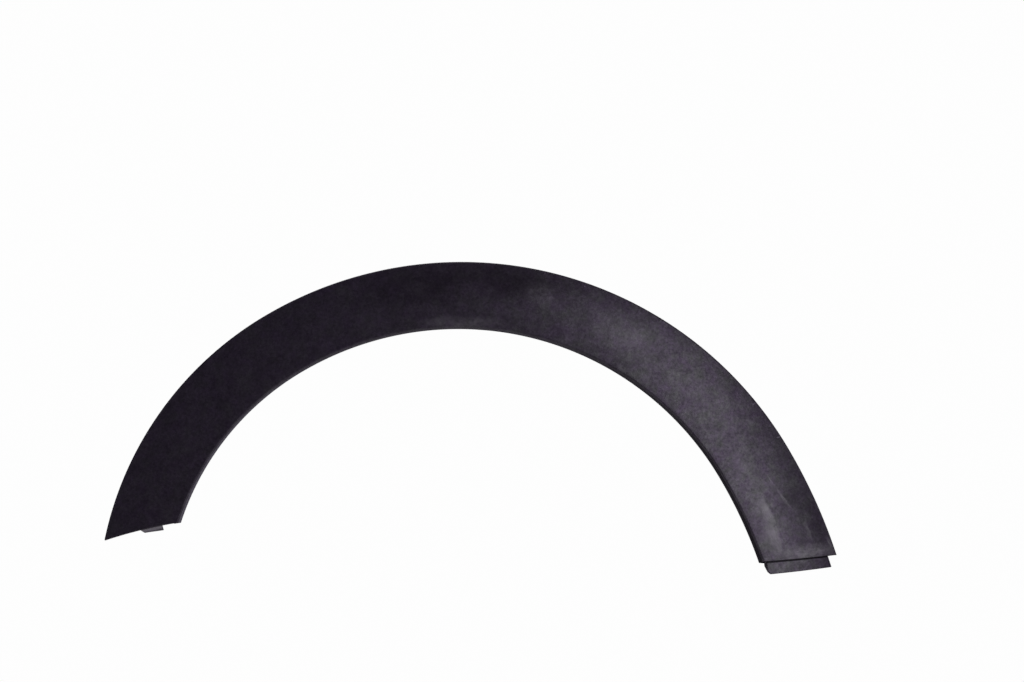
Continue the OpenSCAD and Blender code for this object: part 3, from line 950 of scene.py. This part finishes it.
# Dull marks that take the sheen off, given in the same way.
dullMarks = [
    {"from": (0.394, -0.248), "to": (0.408, -0.286), "width": 0.0130, "streak": 0.0040, "stretch": 3.0,
     "breakup": 0.25, "strength": 0.26, "sharp": 1.0},
    {"from": (0.360, -0.208), "to": (0.386, -0.254), "width": 0.0160, "streak": 0.0050, "stretch": 3.0,
     "breakup": 0.28, "strength": 0.34, "sharp": 1.0},
    {"from": (-0.140, -0.004), "to": (0.050, 0.024), "width": 0.0340, "streak": 0.0090, "stretch": 2.0,
     "breakup": 0.15, "strength": 0.58, "sharp": 1.0},
    {"from": (-0.030, 0.024), "to": (0.140, 0.000), "width": 0.0300, "streak": 0.0090, "stretch": 2.0,
     "breakup": 0.15, "strength": 0.66, "sharp": 1.0},
]


def markMask(tree, place, marks):
    # the strongest of several marks at each point
    strongest = None
    for m in marks:
        node = put(tree, "ShaderNodeGroup", None, None, node_tree=scuffAndLight)
        tree.links.new(place, node.inputs["Vector"])
        a, b = Vector(m["from"]), Vector(m["to"])
        middle, run = (a + b) / 2, b - a
        node.inputs["Centre"].default_value = (middle.x, 0, middle.y)
        node.inputs["Turn"].default_value = math.atan2(run.y, run.x)
        node.inputs["Length"].default_value = run.length / 2
        node.inputs["Width"].default_value = m["width"]
        node.inputs["Streak Size"].default_value = m["streak"]
        node.inputs["Streak Stretch"].default_value = m["stretch"]
        node.inputs["Breakup"].default_value = m["breakup"]
        node.inputs["Sharp Side"].default_value = m["sharp"]
        node.inputs["Raggedness"].default_value = m.get("ragged", 0.9)
        mark = calc(tree, "MULTIPLY", node.outputs["Mask"], m["strength"])
        strongest = mark if strongest is None else calc(tree, "MAXIMUM", strongest, mark)
    return strongest


def trimMaterial():
    material, tree, shader = newMaterial("trimPlastic")
    coords = tree.nodes.new("ShaderNodeTexCoord")
    place = coords.outputs["Object"]
    facing = put(tree, "ShaderNodeSeparateXYZ", {0: coords.outputs["Normal"]})
    onFront = spread(tree, facing.outputs["Y"], -0.1, -0.4)
    look = put(tree, "ShaderNodeGroup", None, None, node_tree=grain)
    tree.links.new(place, look.inputs["Vector"])
    look.inputs["Grain Size"].default_value = trimFinish["grainSize"]
    look.inputs["Cloud Size"].default_value = trimFinish["cloudSize"]
    look.inputs["Mottle Size"].default_value = trimFinish["mottleSize"]
    blotched = calc(tree, "MULTIPLY", calc(tree, "ADD", look.outputs["Cloud"], look.outputs["Mottle"]), 0.5)
    colour = tint(tree, blotched, trimFinish["dark"], trimFinish["light"])
    # pale marks: scuffs, and painted light along the crown's opening edge
    marks = calc(tree, "MULTIPLY", markMask(tree, place, scuffsAndPaintedLight), onFront)
    dulled = calc(tree, "MULTIPLY", markMask(tree, place, dullMarks), onFront)
    near = put(tree, "ShaderNodeAttribute", None, None, attribute_name="edgeNear")
    rubbed = put(tree, "ShaderNodeGroup", None, None, node_tree=wear)
    tree.links.new(place, rubbed.inputs["Vector"])
    tree.links.new(near.outputs["Fac"], rubbed.inputs["Nearness"])
    rubbed.inputs["Amount"].default_value = 0.45
    colour = tint(tree, rubbed.outputs["Mask"], colour, trimFinish["worn"])
    colour = tint(tree, marks, colour, trimFinish["scuffAndLight"])
    # painted light on the end tab: lighter by the left cut, against the band's shadow there, and painted darker
    # towards its tip
    onTab = put(tree, "ShaderNodeAttribute", None, None, attribute_name="tabLight")
    colour = tint(tree, onTab.outputs["Fac"], colour, trimFinish["tab"])
    # painted light on the left limb's flange, which faces the light
    litLeftFlank = put(tree, "ShaderNodeAttribute", None, None, attribute_name="flankLight")
    colour = tint(tree, litLeftFlank.outputs["Fac"], colour, trimFinish["paintedLight"])
    # painted shade: in the step under the right cut and on the right limb's flange; it takes the gloss off there too
    start, across, past, width = endFrame(0)
    paintedShade = put(tree, "ShaderNodeGroup", None, None, node_tree=stepShadeTree)
    tree.links.new(place, paintedShade.inputs["Vector"])
    paintedShade.inputs["Origin"].default_value = (start.x * mm, 0, start.y * mm)
    paintedShade.inputs["Past"].default_value = (past.x, 0, past.y)
    # how much painted shade the right limb's flange takes
    flank = put(tree, "ShaderNodeAttribute", None, None, attribute_name="flankShade")
    shadeMask = calc(tree, "MAXIMUM", paintedShade.outputs["Mask"],
                 calc(tree, "MULTIPLY", flank.outputs["Fac"], trimFinish["flankShade"]))
    colour = tint(tree, shadeMask, colour, trimFinish["paintedShade"])
    tree.links.new(colour, shader.inputs["Base Color"])
    gloss = spread(tree, look.outputs["Mottle"], 0, 1, trimFinish["gloss"] * (1 - trimFinish["mottle"]),
                   trimFinish["gloss"] * (1 + trimFinish["mottle"]))
    gloss = calc(tree, "MULTIPLY", gloss, spread(tree, look.outputs["Blotch"], 0, 1, 1 - trimFinish["blotch"],
                                                 1 + trimFinish["blotch"]))
    gloss = calc(tree, "MULTIPLY", gloss, calc(tree, "SUBTRACT", 1.0, dulled))
    gloss = calc(tree, "MULTIPLY", gloss, spread(tree, shadeMask, 0, 1, 1.0, 0.2))
    tree.links.new(gloss, shader.inputs["Specular IOR Level"])
    sheen = tint(tree, look.outputs["Hue"], trimFinish["sheenGrey"], trimFinish["sheenViolet"])
    tree.links.new(sheen, shader.inputs["Specular Tint"])
    rough = spread(tree, look.outputs["Cloud"], 0, 1, trimFinish["roughLow"], trimFinish["roughHigh"])
    rough = calc(tree, "ADD", rough, calc(tree, "MULTIPLY", marks, 0.3), True)
    tree.links.new(rough, shader.inputs["Roughness"])
    bump = put(tree, "ShaderNodeBump", {"Height": look.outputs["Height"]},
               {"Strength": 1.0, "Distance": trimFinish["grainDepth"]})
    tree.links.new(bump.outputs[0], shader.inputs["Normal"])
    return material


clipFinish = {"dark": (0.60, 0.55, 0.43), "light": (0.74, 0.70, 0.60), "roughLow": 0.34, "roughHigh": 0.46,
              "grainDepth": 0.00003}


def clipMaterial():
    material, tree, shader = newMaterial("clipNylon")
    place = tree.nodes.new("ShaderNodeTexCoord").outputs["Object"]
    look = put(tree, "ShaderNodeGroup", None, None, node_tree=grain)
    tree.links.new(place, look.inputs["Vector"])
    look.inputs["Grain Size"].default_value = 0.0006
    look.inputs["Cloud Size"].default_value = 0.006
    colour = tint(tree, look.outputs["Cloud"], clipFinish["dark"], clipFinish["light"])
    tree.links.new(colour, shader.inputs["Base Color"])
    rough = spread(tree, look.outputs["Cloud"], 0, 1, clipFinish["roughLow"], clipFinish["roughHigh"])
    tree.links.new(rough, shader.inputs["Roughness"])
    shader.inputs["Subsurface Weight"].default_value = 0.12
    shader.inputs["Subsurface Scale"].default_value = 0.002
    bump = put(tree, "ShaderNodeBump", {"Height": look.outputs["Height"]},
               {"Strength": 1.0, "Distance": clipFinish["grainDepth"]})
    tree.links.new(bump.outputs[0], shader.inputs["Normal"])
    return material


def dress(obj, material, node):
    obj.data.materials.clear()
    obj.data.materials.append(material)
    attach(obj, "root")
    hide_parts(node)


dress(moulding, trimMaterial(), "arch_trim")
nylon = clipMaterial()
for i, obj in enumerate(clips):
    dress(obj, nylon, "retaining_clip_%d" % (i + 1))
print("materials: trim plastic and clip nylon")


# Camera, floor and lights

camera = {"at": (-0.0772, -2.1959, -0.0516), "turn": -3.5, "lens": 69.06, "sensor": 36.0}

floor = {"z": -0.9, "x": (-2.5, 2.5), "y": (-3.2, 1.0), "colour": (0.80, 0.79, 0.77)}

# Softboxes: place and aim in metres, size, and power in watts.
lights = {
    "keyRight": {"at": (0.753, -0.979, 0.013), "aim": (0.25, 0.0, -0.1), "size": (0.64, 1.36), "power": 6.8},
    "backFill": {"at": (-0.3, 1.6, 1.9), "aim": (0.0, 0.0, -0.1), "size": (1.4, 1.4), "power": 34.0},
}

# What the camera sees behind the trim, and what lights it: from the front, and from behind on each side.
room = {"seen": 0.987, "front": 0.206, "backLeft": 0.02, "backRight": 0.16, "tint": (1.0, 0.90, 1.12)}


def makeCamera():
    data = bpy.data.cameras.new("camera")
    data.sensor_width = camera["sensor"]
    data.lens = camera["lens"]
    obj = bpy.data.objects.new("camera", data)
    obj.location = camera["at"]
    obj.rotation_euler = (math.radians(90), 0, math.radians(camera["turn"]))
    bpy.context.scene.collection.objects.link(obj)
    bpy.context.scene.camera = obj


def makeFloor():
    (x0, x1), (y0, y1), z = floor["x"], floor["y"], floor["z"]

    def build(bm):
        bm.faces.new([bm.verts.new((x, y, z)) for x, y in ((x0, y0), (x1, y0), (x1, y1), (x0, y1))])

    obj = meshFrom("floor", build)
    material, tree, shader = newMaterial("paleFloor")
    shader.inputs["Base Color"].default_value = (*floor["colour"], 1)
    shader.inputs["Roughness"].default_value = 0.9
    obj.data.materials.append(material)


def makeLight(name, spec):
    data = bpy.data.lights.new(name, "AREA")
    data.shape = "RECTANGLE"
    data.size, data.size_y = spec["size"]
    data.energy = spec["power"]
    obj = bpy.data.objects.new(name, data)
    obj.location = spec["at"]
    aim = Vector(spec["aim"]) - Vector(spec["at"])
    obj.rotation_euler = aim.to_track_quat("-Z", "Y").to_euler()
    bpy.context.scene.collection.objects.link(obj)


def makeWorld():
    world = bpy.data.worlds.new("room")
    world.use_nodes = True
    tree = world.node_tree
    tree.nodes.clear()
    rays = tree.nodes.new("ShaderNodeLightPath")
    seen = put(tree, "ShaderNodeBackground", None, {"Color": (room["seen"],) * 3 + (1,), "Strength": 1.0})
    way = put(tree, "ShaderNodeSeparateXYZ", {0: tree.nodes.new("ShaderNodeTexCoord").outputs["Generated"]})
    back = spread(tree, way.outputs["X"], -0.3, 0.3, room["backLeft"], room["backRight"])
    isBack = spread(tree, way.outputs["Y"], -0.2, 0.5)
    level = calc(tree, "ADD", calc(tree, "MULTIPLY", back, isBack),
                 calc(tree, "MULTIPLY", calc(tree, "SUBTRACT", 1.0, isBack), room["front"]))
    unseen = put(tree, "ShaderNodeBackground", {"Strength": level}, {"Color": (*room["tint"], 1)})
    both = put(tree, "ShaderNodeMixShader", {0: rays.outputs["Is Camera Ray"], 1: unseen.outputs[0],
                                             2: seen.outputs[0]})
    out = tree.nodes.new("ShaderNodeOutputWorld")
    tree.links.new(both.outputs[0], out.inputs["Surface"])
    bpy.context.scene.world = world


makeCamera()
makeFloor()
makeWorld()
for name, spec in lights.items():
    makeLight(name, spec)
bpy.context.scene.view_settings.view_transform = "Standard"
print("stage: camera, floor and", len(lights), "lights")
